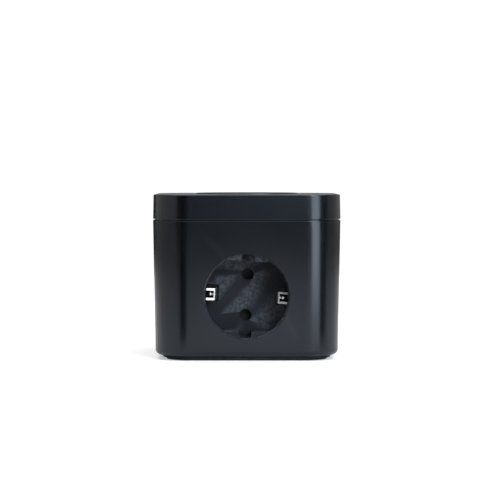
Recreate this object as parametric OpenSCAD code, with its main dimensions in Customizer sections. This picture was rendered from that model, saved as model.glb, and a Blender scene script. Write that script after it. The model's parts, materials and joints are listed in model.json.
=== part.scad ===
// Table-top smart socket: one earthed Type F outlet in the front of a soft-cornered case, a round power
// button in the top, and the mains electronics inside. Millimetres, +Z up, the outlet faces -Y, and the
// origin is at the bottom centre, on the surface that the rubber pad stands on.

/* [Case] */
// Width and depth of the case at the seam
case_w = 87; // [84:0.5:110]
// Height from the table to the flat top
case_h = 76; // [74:0.5:100]
// Height of the top cap, from the seam to the flat top
cap_h = 11.6; // [11:0.1:15]
// Plan radius of the upright corners at the seam
corner_r = 17; // [16:0.5:20]
// How far each side leans in from the seam to the bottom
side_lean = 1.25; // [0.6:0.05:1.6]
// How far each side of the cap leans in from the seam to the top
cap_lean = 0.2; // [0.1:0.05:0.8]
// Thickness of the side walls
wall = 2.4; // [2:0.1:3]
// Thickness of the cap's top plate
cap_t = 2.4; // [2:0.1:3]
// Thickness of the floor inside the case, above the foot
floor_t = 3; // [2.6:0.1:4]
// Thickness of the body's bottom lip
lip_t = 2.4; // [2:0.1:2.6]
// Height of the shadow gap between cap and body
seam_gap = 0.45; // [0.3:0.05:0.8]
// Rounding of the body's bottom edge
bottom_round = 2.5; // [1.5:0.1:3]
// Rounding of the cap's top edge
top_round = 0.5; // [0.3:0.1:1.5]
// Rounding of the two edges at the seam
seam_round = 0.35; // [0.2:0.05:0.6]

/* [Foot] */
// Thickness of the rubber pad
pad_t = 0.9; // [0.6:0.1:2]
// Inset of the rubber pad from the body's bottom outline
pad_inset = 5.1; // [4:0.1:7]
// Height of the base tray's edge that shows below the body
plinth_h = 1.1; // [0.8:0.1:2]
// Inset of the base tray's edge from the body's bottom outline
plinth_inset = 3.5; // [2.6:0.1:3.9]

/* [Outlet] */
// Height of the outlet's axis above the table
socket_z = 29.5; // [28.5:0.1:34]
// Turn of the outlet insert in its opening, clockwise from the front, in degrees
socket_turn = 3; // [0:0.5:5]
// Depth of the plug recess below the front face
recess_depth = 17.5; // [17:0.1:19]
// Inside radius of the plug recess
recess_r = 19.1; // [19:0.1:19.6]
// Radius of the opening in the body
opening_r = 19.7; // [19.7:0.1:20.2]
// Distance between the two pin holes
pin_pitch = 19; // [18.6:0.1:19.4]
// Radius of each pin hole
pin_hole_r = 2.7; // [2.5:0.05:3]
// Distance from the axis to the crown of each earth clip at rest
crown_r = 14; // [13.4:0.1:15]
// Width of the earth clips
clip_w = 5.4; // [5:0.1:7]
// Distance from the axis to the flat guide blocks at the top and bottom of the recess
guide_r = 16.2; // [15.8:0.1:17]

/* [Button] */
// Radius of the power button
button_r = 24.3; // [20:0.1:25]
// How far the button stands above the flat top
button_rise = 0.5; // [0.2:0.1:1]
// Travel of the button
button_travel = 0.6; // [0.3:0.1:0.8]
// Gap round the button
button_gap = 0.3; // [0.2:0.05:0.5]
// Width of the light ring round the button
light_ring_w = 1.2; // [0.8:0.1:2]

/* [Cord entry] */
// Bore radius of the cord gland
gland_bore_r = 4.1; // [3:0.1:4.5]
// Height of the cord gland's axis above the table
gland_z = 14; // [14:0.5:18]
// Width of the plate in the back wall that holds the cord gland
cord_plate_w = 30; // [24:1:40]

/* [Electronics] */
// Thickness of the circuit boards
board_t = 1.6; // [1:0.1:2]
// Width of the main board
main_board_w = 77; // [76:0.5:78]
// Side of the square button board
ui_board_w = 52; // [50:0.5:54]

/* [Fit] */
// Gap between fixed pieces that slide together when they are fitted
fit_gap = 0.1; // [0.05:0.05:0.2]
// Radial gap of the parts that turn or slide
running_gap = 0.08; // [0.05:0.01:0.1]

/* [Hidden] */

shell_black = [0.12, 0.12, 0.13];
inner_black = [0.07, 0.07, 0.08];
steel = [0.75, 0.76, 0.78];
brass = [0.82, 0.70, 0.40];
board_green = [0.08, 0.35, 0.20];

smooth = 96;
small_smooth = 40;
round_steps = 5;
sharp = 0.01;
over = 0.5;

// Levels of the case, from the table up
half_w = case_w / 2;
corner_c = half_w - corner_r;
body_z = pad_t + plinth_h;
floor_z = body_z + floor_t;
seam_z = case_h - cap_h;
shoulder_z = seam_z - seam_gap / 2;
cap_z = seam_z + seam_gap / 2;
tongue_t = 1.1;
tongue_top = seam_z + 2.4;
cap_under_z = case_h - cap_t;
bottom_r = corner_r - side_lean;
plinth_r = bottom_r - plinth_inset;
tray_r = plinth_r - 2.3;
foot_round = 0.3;

// How far the side stands inside the seam line at a height, and the front face's place there
function side_in(z) = side_lean * (seam_z - z) / (seam_z - body_z);
function front_y(z) = -(half_w - side_in(z));
function back_y(z) = half_w - side_in(z);

// Screws of the case: they pass up through the tray's corner pillars into the cap, and the body is
// clamped between them. The pillars stand inside the tray's outline, so that the body slides over them
pillar_r = 4.2;
pillar_c = corner_c + (tray_r - pillar_r - fit_gap) / sqrt(2);
pillar_top = seam_z - 2.4;
pillar_seat = pillar_top - 8;
pillar_bore_r = 2.9;
screw_r = 1.45;
screw_head_r = 2.6;
screw_head_h = 2;
boss_reach = 8;
small_screw_r = 1.2;
small_head_r = 2.2;
small_head_h = 1.4;

// Outlet, in its own frame: x right, y up, z out of the face, and the face at z = 0
face_y = front_y(socket_z);
cup_wall = 1.8;
cup_r = recess_r + cup_wall;
rim_z = -(wall + 0.5);
recess_z = -recess_depth;
cup_floor_t = 2.6;
cup_back_z = recess_z - cup_floor_t;
pin_chamfer = 0.25;
collar_r = cup_r + 2;
flange_z = rim_z - 1.4;
flange_t = 2.2;
flange_w = 59;
flange_h = 34;
flange_screw = [25.5, 13];
flange_boss_r = 3;
window_top_z = rim_z - 1.1;
window_h = clip_w + 2.4;
window_in_r = crown_r - 1;
window_out_r = cup_r + 2.6;
guide_half = 10;
guide_slot = 3;
guide_front_z = -3;
post_r = 2.8;
post_reach = cup_r + 1.6;
post_angles = [45, 225];
shutter_r = 13;
shutter_t = 2.4;
shutter_hole_r = pin_hole_r + 0.3;
shutter_swing = 40;
pivot_r = 2;
pocket_depth = shutter_t + 0.6;
carrier_r = 18.4;
carrier_depth = 18.4;
carrier_back_z = cup_back_z - carrier_depth;
cavity_r = 4.2;
carrier_back_t = 1.6;
ear_t = 3;
contact_in_r = 2.45;
contact_out_r = 3.15;
contact_len = 12;
tab_w = 5;
metal_t = 0.8;
tab_end_z = carrier_back_z - 9;

// Earth clip, from its free tip: a shallow forked nose, a straight stretch that presses on the plug, and a
// leg that leans out to the root. The nose follows the front of the insert, and the root its floor
clip_t = 0.7;
clip_nose_reach = 4.7;
clip_nose_angle = 20;
clip_tip = [crown_r + clip_nose_reach, window_top_z - 0.9];
clip_nose_bend = [crown_r + clip_t / 2,
    clip_tip[1] - (clip_nose_reach - clip_t / 2) * tan(clip_nose_angle)];
clip_knee = [crown_r + clip_t / 2, recess_z + 4.4];
clip_root = [crown_r + 5.2744, recess_z - 3.6182];
clip_nose_r = 1.2;
clip_knee_r = 3;
clip_rail_w = 1;
clip_root_r = 0.7;
clip_dome_x = crown_r + 2.8;
clip_dome_r = 1.05;
strap_x = clip_root[0] - metal_t / 2;

// Main board, upright behind the outlet, with its parts on the rear face
board_y = face_y - carrier_back_z + 5.8;
board_z = floor_z + 0.2;
board_top = pillar_top - 1;
parts_y = board_y + board_t;
guide_rail_x = main_board_w / 2 - 1.7;

// Parts on the main board: place of the lower left corner as [x, z], and size as [width, height, depth]
relay_at = [-28, 40];
relay_size = [19, 16, 15.5];
relay_vent = 1.2;
transformer_at = [-34, 20];
transformer_size = [20, 18, 16];
core_t = 3;
coil_r = 6;
capacitor_places = [[-6, 30], [4.6, 27]];
capacitor_sizes = [[5, 18], [4, 13]];
film_at = [15, 21];
film_size = [18, 7, 13];
varistor_at = [31, 36.5];
varistor_r = 5.5;
varistor_t = 4;
fuse_at = [15, 10.4];
fuse_r = 2.6;
fuse_len = 11;
lead_r = 0.4;
bridge_at = [-20, 8];
bridge_size = [8.4, 6.4, 2.6];
choke_at = [-28, 12];
choke_r = 4.5;
choke_h = 10;
choke_rim = 1.4;
wifi_at = [9, 34];
wifi_size = [16, 24, 0.8];
shield_inset = 2;
shield_size = [12, 15, 2.4];
chip_at = [27.5, 49];
chip_size = [6.2, 9.5, 1.6];
terminal_at = [-8, 7];
terminal_size = [16, 11, 11];
terminal_pitch = 5.2;
terminal_entry_r = 1.6;
terminal_screw_r = 1.2;
terminal_head_r = 1.8;
terminal_head_h = 2.4;
earth_tab_x = 12;
earth_tab_w = 4;
connector_size = [10, 5, 5];
connector_at = [-5, 45];
ui_plug_h = 4;
ui_plug_y = parts_y + 9;
cable_w = 8;
cable_t = 1;
cable_bend_r = 3;

// Button stack under the cap
ui_standoff = 7.4;
ui_top = cap_under_z - ui_standoff;
ui_boss_c = ui_board_w / 2 - 3.5;
ring_in_r = button_r + button_gap;
ring_out_r = ring_in_r + light_ring_w;
ring_flange_r = ring_out_r + 1.4;
ring_flange_t = 1.2;
button_top = case_h + button_rise;
button_t = 1.8;
button_under = button_top - button_t;
button_wall = 1.4;
button_flange_t = 1.2;
button_flange_top = cap_under_z - ring_flange_t - 0.3;
button_flange_r = ring_out_r + 0.1;
switch_w = 6.2;
switch_h = 3.4;
plunger_r = 1.75;
plunger_top = ui_top + 4.2;
plunger_h = 1.6;
plunger_well = plunger_top - plunger_h - button_travel - 0.2;
stem_r = 2.6;
touch_gap = 0.05;
spring_r = 5.4;
spring_wire_r = 0.35;
spring_turns = 4;

// Cord gland and clamp
gland_r = gland_bore_r + 1.9;
gland_flange_r = gland_r + 1.5;
gland_flange_y = back_y(gland_z + gland_flange_r);
gland_flange_t = 0.8;
gland_nut_r = gland_r + 2.2;
gland_nut_t = 4;
cord_plate_z = floor_z + fit_gap;
cord_plate_top = gland_z + gland_flange_r + 1.9;
cord_plate_lap = 2;
cord_plate_lap_t = 1.2;
gland_nut_y = back_y(gland_z - gland_nut_r) - wall - cord_plate_lap_t - 2 * fit_gap - gland_nut_t;
gland_in_y = gland_nut_y - 1.5;
clamp_y = gland_in_y - 10;
clamp_w = 7;
clamp_screw_x = gland_bore_r + 5.6;
clamp_boss_r = 3.1;
clamp_bore_r = gland_bore_r - 0.3;

// ---- Shared shapes ----

function arc_points(centre, r, from, to, steps) =
    [for (i = [0:steps]) let (a = from + (to - from) * i / steps) centre + r * [cos(a), sin(a)]];

// Half profile of a leaning block with rounded lower and upper edges
function block_profile(z0, r0, z1, r1, round0, round1) =
    let (lean = atan((r1 - r0) / (z1 - z0)),
        slope = (r1 - r0) / (z1 - z0),
        low = [r0 + slope * round0 - round0 / cos(lean), z0 + round0],
        high = [r1 - slope * round1 - round1 / cos(lean), z1 - round1])
    concat([[0, z0]], arc_points(low, round0, -90, -lean, round_steps),
        arc_points(high, round1, -lean, 90, round_steps), [[0, z1]]);

// A block whose plan is a square with round corners, filled to its middle
module round_block(centre, z0, r0, z1, r1, round0 = sharp, round1 = sharp) {
    profile = block_profile(z0, r0, z1, r1, round0, round1);
    translate([-centre, -centre, z0])
        cube([2 * centre, 2 * centre, z1 - z0]);
    for (quarter = [0:3])
        rotate([0, 0, 90 * quarter])
            translate([centre, centre, 0]) {
                rotate_extrude(angle = 90, $fn = smooth)
                    polygon(profile);
                rotate([90, 0, 0])
                    linear_extrude(2 * centre)
                        polygon(profile);
            }
}

module at_corners(c) {
    for (x = [-c, c])
        for (y = [-c, c])
            translate([x, y, 0])
                children();
}

module rod_y(y0, y1, x, z, r, fn = small_smooth) {
    translate([x, y0, z])
        rotate([-90, 0, 0])
            cylinder(h = y1 - y0, r = r, $fn = fn);
}

module plate(w, h, z0, z1, r = 2) {
    translate([-w / 2 + r, -h / 2, z0])
        cube([w - 2 * r, h, z1 - z0]);
    translate([-w / 2, -h / 2 + r, z0])
        cube([w, h - 2 * r, z1 - z0]);
    for (x = [-w / 2 + r, w / 2 - r])
        for (y = [-h / 2 + r, h / 2 - r])
            translate([x, y, z0])
                cylinder(h = z1 - z0, r = r, $fn = small_smooth);
}

// A cross-head screw: the head's top is at z = 0 and the shank points down
module screw(head_r, head_h, shank_r, shank_len) {
    difference() {
        union() {
            translate([0, 0, -head_h])
                cylinder(h = head_h, r = head_r, $fn = small_smooth);
            translate([0, 0, -head_h - shank_len])
                cylinder(h = shank_len + over, r = shank_r, $fn = small_smooth);
        }
        for (turn = [0, 90])
            rotate([0, 0, turn])
                translate([-head_r * 0.6, -head_r * 0.13, -head_h * 0.6])
                    cube([head_r * 1.2, head_r * 0.26, head_h]);
    }
}

// A tube swept along points, with a ring of sides at each point
function unit(v) = v / norm(v);
function heading(p, i) = unit(p[min(i + 1, len(p) - 1)] - p[max(i - 1, 0)]);
function ring_point(p, i, r, a, ref) =
    let (d = heading(p, i), u = unit(cross(d, ref)), v = cross(d, u)) p[i] + r * (cos(a) * u + sin(a) * v);

module tube(p, r, ref = [0, 0, 1], sides = 8) {
    last = (len(p) - 1) * sides;
    points = [for (i = [0:len(p) - 1]) for (k = [0:sides - 1]) ring_point(p, i, r, 360 * k / sides, ref)];
    skin = [for (i = [0:len(p) - 2]) for (k = [0:sides - 1])
        [i * sides + k, i * sides + (k + 1) % sides, (i + 1) * sides + (k + 1) % sides, (i + 1) * sides + k]];
    ends = [[for (k = [sides - 1:-1:0]) k], [for (k = [0:sides - 1]) last + k]];
    polyhedron(points, concat(skin, ends), convexity = 10);
}

function coil_points(r, z0, z1, turns) =
    [for (i = [0:20 * turns]) [r * cos(18 * i), r * sin(18 * i), z0 + (z1 - z0) * i / (20 * turns)]];

function spiral_points(r0, r1, z, turns) =
    [for (i = [0:15 * turns]) let (r = r0 + (r1 - r0) * i / (15 * turns))
        [r * cos(24 * i), r * sin(24 * i), z]];

// Puts children on the outlet's axis, where z points out of the front face
module on_outlet() {
    translate([0, face_y, socket_z])
        rotate([90, 0, 0])
            rotate([0, 0, -socket_turn])
                children();
}

// ---- Case ----

module outer_body() {
    round_block(corner_c, body_z, bottom_r, shoulder_z, corner_r, bottom_round, seam_round);
}

module body_cavity() {
    lip_top = body_z + lip_t;
    round_block(corner_c, lip_top, corner_r - side_in(lip_top) - wall, shoulder_z + over, corner_r - wall);
    round_block(corner_c, body_z - over, tray_r + fit_gap, lip_top + over, tray_r + fit_gap);
}

module tongue() {
    in_r = corner_r - wall;
    out_r = in_r + tongue_t;
    difference() {
        round_block(corner_c, shoulder_z - 1.5, out_r, tongue_top, out_r);
        round_block(corner_c, shoulder_z - 2, in_r, tongue_top + over, in_r);
    }
}

module board_rails() {
    rail_t = 1.2;
    rail_z = floor_z + 0.5;
    for (side = [0, 180])
        translate([0, board_y + board_t / 2, 0])
            rotate([0, 0, side])
                for (y = [-board_t / 2 - fit_gap - rail_t, board_t / 2 + fit_gap])
                    translate([guide_rail_x, y, rail_z])
                        cube([half_w - side_lean - 0.7 - guide_rail_x, rail_t, board_top - rail_z - 2]);
}

module at_flange_screws() {
    for (x = [-flange_screw[0], flange_screw[0]])
        for (y = [-flange_screw[1], flange_screw[1]])
            translate([x, y, 0])
                children();
}

module body_shell() {
    color(shell_black)
        difference() {
            union() {
                difference() {
                    outer_body();
                    body_cavity();
                }
                tongue();
                board_rails();
                on_outlet() {
                    translate([0, 0, rim_z])
                        cylinder(h = wall - 0.6, r = collar_r, $fn = smooth);
                    at_flange_screws()
                        translate([0, 0, flange_z])
                            cylinder(h = -flange_z - 1.2, r = flange_boss_r, $fn = small_smooth);
                }
            }
            on_outlet() {
                translate([0, 0, rim_z - over])
                    cylinder(h = 10, r = opening_r, $fn = smooth);
                at_flange_screws()
                    translate([0, 0, flange_z - over])
                        cylinder(h = 3 + over, r = small_screw_r + fit_gap, $fn = small_smooth);
            }
            cord_opening(fit_gap);
        }
}

module top_cap() {
    under_r = corner_r - cap_lean - wall;
    rebate_r = corner_r - wall + tongue_t + fit_gap;
    color(shell_black)
        difference() {
            union() {
                difference() {
                    round_block(corner_c, cap_z, corner_r, case_h, corner_r - cap_lean, seam_round,
                        top_round);
                    round_block(corner_c, cap_z - over, corner_r - wall, cap_under_z, under_r);
                    round_block(corner_c, cap_z - 1, rebate_r, tongue_top, rebate_r);
                }
                at_corners(pillar_c)
                    translate([0, 0, pillar_top])
                        cylinder(h = cap_under_z - pillar_top + over, r = pillar_r, $fn = small_smooth);
                at_corners(ui_boss_c)
                    translate([0, 0, ui_top])
                        cylinder(h = ui_standoff + over, r = 2.6, $fn = small_smooth);
                for (x = [-1, 1])
                    translate([x * (main_board_w / 2 - 5) - 1, board_y - 1, board_top])
                        cube([2, board_t + 2, cap_under_z - board_top + over]);
            }
            translate([0, 0, cap_under_z - 1])
                cylinder(h = cap_t + 2, r = ring_out_r + touch_gap, $fn = smooth);
            at_corners(pillar_c)
                translate([0, 0, pillar_top - 1])
                    cylinder(h = boss_reach + 1.5, r = screw_r + touch_gap, $fn = small_smooth);
            at_corners(ui_boss_c)
                translate([0, 0, ui_top - 1])
                    cylinder(h = 6, r = small_screw_r + touch_gap, $fn = small_smooth);
        }
}

module housing_screws() {
    color(steel)
        at_corners(pillar_c)
            translate([0, 0, pillar_seat - screw_head_h])
                rotate([180, 0, 0])
                    screw(screw_head_r, screw_head_h, screw_r, pillar_top - pillar_seat + boss_reach - 1);
}

module clamp_cradle() {
    for (x = [-clamp_screw_x, clamp_screw_x])
        translate([x, clamp_y, floor_z - over])
            cylinder(h = gland_z - floor_z + over, r = clamp_boss_r, $fn = small_smooth);
    translate([-clamp_screw_x, clamp_y - clamp_w / 2 + 1, floor_z - over])
        cube([2 * clamp_screw_x, clamp_w - 2, gland_z - floor_z]);
}

module base_tray() {
    color(inner_black)
        difference() {
            union() {
                round_block(corner_c, pad_t, plinth_r, body_z - touch_gap, plinth_r, foot_round);
                round_block(corner_c, body_z - over, tray_r, floor_z, tray_r);
                at_corners(pillar_c)
                    translate([0, 0, floor_z - over])
                        cylinder(h = pillar_top - floor_z + over, r = pillar_r, $fn = small_smooth);
                clamp_cradle();
            }
            at_corners(pillar_c) {
                cylinder(h = pillar_seat, r = pillar_bore_r, $fn = small_smooth);
                cylinder(h = pillar_top + 1, r = screw_r + fit_gap, $fn = small_smooth);
            }
            rod_y(clamp_y - clamp_w, clamp_y + clamp_w, 0, gland_z, clamp_bore_r);
            for (x = [-clamp_screw_x, clamp_screw_x])
                translate([x, clamp_y, gland_z - 7])
                    cylinder(h = 8, r = small_screw_r + fit_gap, $fn = small_smooth);
        }
}

module base_pad() {
    color([0.05, 0.05, 0.055])
        round_block(corner_c, 0, bottom_r - pad_inset, pad_t, bottom_r - pad_inset, foot_round);
}

// ---- Outlet ----

module clip_windows() {
    for (side = [-1, 1]) {
        reach = window_out_r - window_in_r;
        middle = side * (window_in_r + window_out_r) / 2;
        translate([middle - reach / 2, -window_h / 2, cup_back_z - over])
            cube([reach, window_h, window_top_z - cup_back_z + over]);
    }
}

module guide_blocks() {
    for (side = [0, 180])
        rotate([0, 0, side])
            intersection() {
                translate([0, 0, recess_z - over])
                    cylinder(h = guide_front_z - recess_z + over, r = recess_r + cup_wall / 2, $fn = smooth);
                for (x = [guide_slot, -guide_half])
                    translate([x, guide_r, recess_z - 2 * over])
                        cube([guide_half - guide_slot, recess_r, recess_depth]);
            }
}

module socket_insert() {
    color(inner_black)
        on_outlet()
            difference() {
                union() {
                    difference() {
                        translate([0, 0, cup_back_z])
                            cylinder(h = rim_z - cup_back_z - touch_gap, r = cup_r, $fn = smooth);
                        translate([0, 0, recess_z])
                            cylinder(h = recess_depth, r = recess_r, $fn = smooth);
                    }
                    guide_blocks();
                    difference() {
                        plate(flange_w, flange_h, flange_z - flange_t, flange_z - touch_gap, 3);
                        translate([0, 0, recess_z])
                            cylinder(h = recess_depth, r = recess_r + 1, $fn = smooth);
                    }
                    for (a = post_angles)
                        rotate([0, 0, a])
                            translate([post_reach, 0, cup_back_z])
                                cylinder(h = 9, r = post_r, $fn = small_smooth);
                    translate([0, 0, cup_back_z - pocket_depth + touch_gap])
                        cylinder(h = pocket_depth + over, r = pivot_r, $fn = small_smooth);
                }
                for (y = [-pin_pitch / 2, pin_pitch / 2])
                    translate([0, y, 0]) {
                        translate([0, 0, cup_back_z - over])
                            cylinder(h = cup_floor_t + 2 * over, r = pin_hole_r, $fn = small_smooth);
                        translate([0, 0, recess_z - pin_chamfer])
                            cylinder(h = 2 * pin_chamfer, r1 = pin_hole_r, r2 = pin_hole_r + 2 * pin_chamfer,
                                $fn = small_smooth);
                    }
                clip_windows();
                at_flange_screws()
                    translate([0, 0, flange_z - flange_t - over])
                        cylinder(h = flange_t + 1, r = small_screw_r + fit_gap, $fn = small_smooth);
                for (a = post_angles)
                    rotate([0, 0, a])
                        translate([post_reach, 0, cup_back_z - over])
                            cylinder(h = 7, r = small_screw_r + touch_gap, $fn = small_smooth);
            }
}

module socket_screws() {
    color(steel)
        on_outlet()
            at_flange_screws()
                translate([0, 0, flange_z - flange_t - small_head_h])
                    rotate([180, 0, 0])
                        screw(small_head_r, small_head_h, small_screw_r, flange_t + 2.4);
}

module contact_carrier() {
    color([0.16, 0.16, 0.17])
        on_outlet()
            difference() {
                union() {
                    translate([0, 0, carrier_back_z])
                        cylinder(h = carrier_depth - touch_gap, r = carrier_r, $fn = smooth);
                    for (a = post_angles)
                        rotate([0, 0, a])
                            translate([0, 0, cup_back_z - ear_t]) {
                                translate([post_reach, 0, 0])
                                    cylinder(h = ear_t - touch_gap, r = post_r, $fn = small_smooth);
                                translate([carrier_r - 2, -post_r, 0])
                                    cube([post_reach - carrier_r + 2, 2 * post_r, ear_t - touch_gap]);
                            }
                }
                translate([0, 0, cup_back_z - pocket_depth])
                    cylinder(h = pocket_depth + 1, r = shutter_r + 0.6, $fn = smooth);
                for (y = [-pin_pitch / 2, pin_pitch / 2])
                    translate([0, y, 0]) {
                        translate([0, 0, carrier_back_z + carrier_back_t])
                            cylinder(h = carrier_depth, r = cavity_r, $fn = small_smooth);
                        translate([-tab_w / 2 - 0.3, -metal_t / 2 - 0.2, carrier_back_z - 1])
                            cube([tab_w + 0.6, metal_t + 0.4, carrier_back_t + 2]);
                    }
                for (side = [0, 180])
                    rotate([0, 0, side])
                        translate([window_in_r + 1, -window_h / 2, cup_back_z - 4])
                            cube([carrier_r, window_h, 5]);
                for (a = post_angles)
                    rotate([0, 0, a])
                        translate([post_reach, 0, cup_back_z - ear_t - 1])
                            cylinder(h = ear_t + 2, r = small_screw_r + fit_gap, $fn = small_smooth);
            }
}

module carrier_screws() {
    color(steel)
        on_outlet()
            for (a = post_angles)
                rotate([0, 0, a])
                    translate([post_reach, 0, cup_back_z - ear_t - small_head_h])
                        rotate([180, 0, 0])
                            screw(small_head_r, small_head_h, small_screw_r, ear_t + 5);
}

// A split sleeve that grips one pin, with a tab that passes through the main board
module pin_contact(y) {
    color(brass)
        on_outlet()
            translate([0, y, 0]) {
                difference() {
                    translate([0, 0, carrier_back_z + carrier_back_t + touch_gap])
                        cylinder(h = contact_len, r = contact_out_r, $fn = small_smooth);
                    translate([0, 0, carrier_back_z + carrier_back_t + 1])
                        cylinder(h = contact_len, r = contact_in_r, $fn = small_smooth);
                    translate([-0.5, -5, carrier_back_z + carrier_back_t + 3])
                        cube([1, 10, contact_len]);
                }
                translate([-tab_w / 2, -metal_t / 2, tab_end_z])
                    cube([tab_w, metal_t, carrier_back_z + carrier_back_t + 0.6 - tab_end_z]);
            }
}

module line_contact() {
    pin_contact(pin_pitch / 2);
}

module neutral_contact() {
    pin_contact(-pin_pitch / 2);
}

module earth_strap() {
    leg_top_z = clip_root[1] - clip_root_r - touch_gap;
    color(steel)
        on_outlet() {
            for (side = [0, 1])
                mirror([side, 0, 0])
                    difference() {
                        translate([strap_x, -clip_w / 2, carrier_back_z - metal_t - touch_gap])
                            cube([metal_t, clip_w, clip_root[1] - carrier_back_z + metal_t]);
                        translate([clip_root[0], -clip_w, clip_root[1]])
                            rotate([-90, 0, 0])
                                cylinder(h = 2 * clip_w, r = clip_root_r + running_gap, $fn = small_smooth);
                        translate([strap_x - 1, -clip_w, clip_root[1]])
                            cube([metal_t + 2, 2 * clip_w, clip_root_r + 1]);
                    }
            translate([-strap_x - over, -clip_w / 2, carrier_back_z - metal_t - touch_gap])
                cube([2 * strap_x + 2 * over, clip_w, metal_t]);
            translate([earth_tab_x - earth_tab_w / 2, -metal_t / 2, tab_end_z])
                cube([earth_tab_w, metal_t, carrier_back_z - metal_t - tab_end_z]);
        }
}

// Points of a bend of radius r that rounds the corner c between the points a and b
function bend_points(a, c, b, r, steps) =
    let (back = unit(a - c), on = unit(b - c), half = acos(back * on) / 2,
        centre = c + unit(back + on) * r / sin(half),
        first = c + back * r / tan(half) - centre,
        last = c + on * r / tan(half) - centre,
        from = atan2(first[1], first[0]),
        turn = (atan2(last[1], last[0]) - from + 540) % 360 - 180)
    arc_points(centre, r, from, from + turn, steps);

// The strip's middle line in the plane of the axis, from the free tip to the root
function clip_line() =
    concat([clip_tip], bend_points(clip_tip, clip_nose_bend, clip_knee, clip_nose_r, 8),
        bend_points(clip_nose_bend, clip_knee, clip_root, clip_knee_r, 5), [clip_root]);

// A line's copy at a distance to its left
function beside(p, d) =
    [for (i = [0:len(p) - 1]) let (way = heading(p, i)) p[i] + d * [-way[1], way[0]]];

function reversed(p) = [for (i = [len(p) - 1:-1:0]) p[i]];

module earth_clip() {
    slot_w = clip_w - 2 * clip_rail_w;
    slot_in = crown_r + 1.1;
    tongue_z = clip_nose_bend[1] - 0.9;
    difference() {
        union() {
            translate([0, clip_w / 2, 0])
                rotate([90, 0, 0])
                    linear_extrude(clip_w)
                        polygon(concat(beside(clip_line(), clip_t / 2),
                            reversed(beside(clip_line(), -clip_t / 2))));
            translate([clip_root[0], clip_w / 2, clip_root[1]])
                rotate([90, 0, 0])
                    cylinder(h = clip_w, r = clip_root_r, $fn = small_smooth);
        }
        translate([slot_in, -slot_w / 2, clip_nose_bend[1] - 0.6])
            cube([clip_tip[0] + 1 - slot_in, slot_w, 3]);
    }
    translate([crown_r + clip_t / 2, -0.4, tongue_z - 0.5])
        cube([clip_dome_x - crown_r, 0.8, 0.5]);
    translate([clip_dome_x, 0, tongue_z + 0.35])
        sphere(r = clip_dome_r, $fn = small_smooth);
}

module earth_clip_left() {
    color(steel)
        on_outlet()
            mirror([1, 0, 0])
                earth_clip();
}

module earth_clip_right() {
    color(steel)
        on_outlet()
            earth_clip();
}

module shutter() {
    shutter_z = cup_back_z - 0.3 - shutter_t;
    pin_r = pin_pitch / 2;
    color([0.2, 0.2, 0.21])
        on_outlet()
            difference() {
                translate([0, 0, shutter_z])
                    cylinder(h = shutter_t, r = shutter_r, $fn = smooth);
                translate([0, 0, shutter_z - 1])
                    cylinder(h = shutter_t + 2, r = pivot_r + running_gap, $fn = small_smooth);
                for (a = [90 - shutter_swing, 270 - shutter_swing])
                    rotate([0, 0, a])
                        translate([pin_r, 0, shutter_z - 1])
                            cylinder(h = shutter_t + 2, r = shutter_hole_r, $fn = small_smooth);
                for (a = [90, 270])
                    rotate([0, 0, a])
                        translate([pin_r, 0, shutter_z + shutter_t - 0.5])
                            cylinder(h = 0.6, r1 = 1.2, r2 = pin_hole_r + 0.1, $fn = small_smooth);
                translate([0, 0, shutter_z - 1])
                    cylinder(h = 2, r = 5, $fn = small_smooth);
            }
}

module shutter_spring() {
    coil_z = cup_back_z - pocket_depth + 0.45;
    color(steel)
        on_outlet()
            tube(spiral_points(pivot_r + 0.7, pivot_r + 2.3, coil_z, 2), 0.22);
}

// ---- Button and its board ----

module light_ring() {
    color([0.55, 0.56, 0.58])
        difference() {
            union() {
                translate([0, 0, cap_under_z - ring_flange_t])
                    cylinder(h = case_h - cap_under_z + ring_flange_t, r = ring_out_r, $fn = smooth);
                translate([0, 0, cap_under_z - ring_flange_t])
                    cylinder(h = ring_flange_t, r = ring_flange_r, $fn = smooth);
            }
            translate([0, 0, cap_under_z - ring_flange_t - over])
                cylinder(h = cap_t + ring_flange_t + 2, r = ring_in_r, $fn = smooth);
        }
}

module power_button() {
    flange_z0 = button_flange_top - button_flange_t;
    edge = 0.35;
    color(shell_black) {
        rotate_extrude($fn = smooth)
            polygon([[0, button_under], [button_r - button_wall, button_under],
                [button_r - button_wall, flange_z0], [button_flange_r, flange_z0],
                [button_flange_r, button_flange_top], [button_r, button_flange_top],
                [button_r, button_top - edge], [button_r - edge, button_top], [0, button_top]]);
        translate([0, 0, plunger_top + touch_gap])
            cylinder(h = button_under + over - plunger_top, r = stem_r, $fn = small_smooth);
    }
}

module button_spring() {
    color(steel)
        tube(coil_points(spring_r, ui_top + spring_wire_r + touch_gap,
            button_under - spring_wire_r - touch_gap, spring_turns), spring_wire_r);
}

module ui_board() {
    color(board_green)
        difference() {
            plate(ui_board_w, ui_board_w, ui_top - board_t, ui_top);
            at_corners(ui_boss_c)
                translate([0, 0, ui_top - board_t - 1])
                    cylinder(h = board_t + 2, r = small_screw_r + fit_gap, $fn = small_smooth);
        }
}

module ui_board_screws() {
    color(steel)
        at_corners(ui_boss_c)
            translate([0, 0, ui_top - board_t - small_head_h])
                rotate([180, 0, 0])
                    screw(small_head_r, small_head_h, small_screw_r, board_t + 4);
}

module tact_switch() {
    color(inner_black)
        difference() {
            translate([-switch_w / 2, -switch_w / 2, ui_top])
                cube([switch_w, switch_w, switch_h]);
            translate([0, 0, plunger_well])
                cylinder(h = 5, r = plunger_r + running_gap, $fn = small_smooth);
        }
}

module switch_plunger() {
    color([0.5, 0.48, 0.45])
        translate([0, 0, plunger_top - plunger_h])
            cylinder(h = plunger_h, r = plunger_r, $fn = small_smooth);
}

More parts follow.
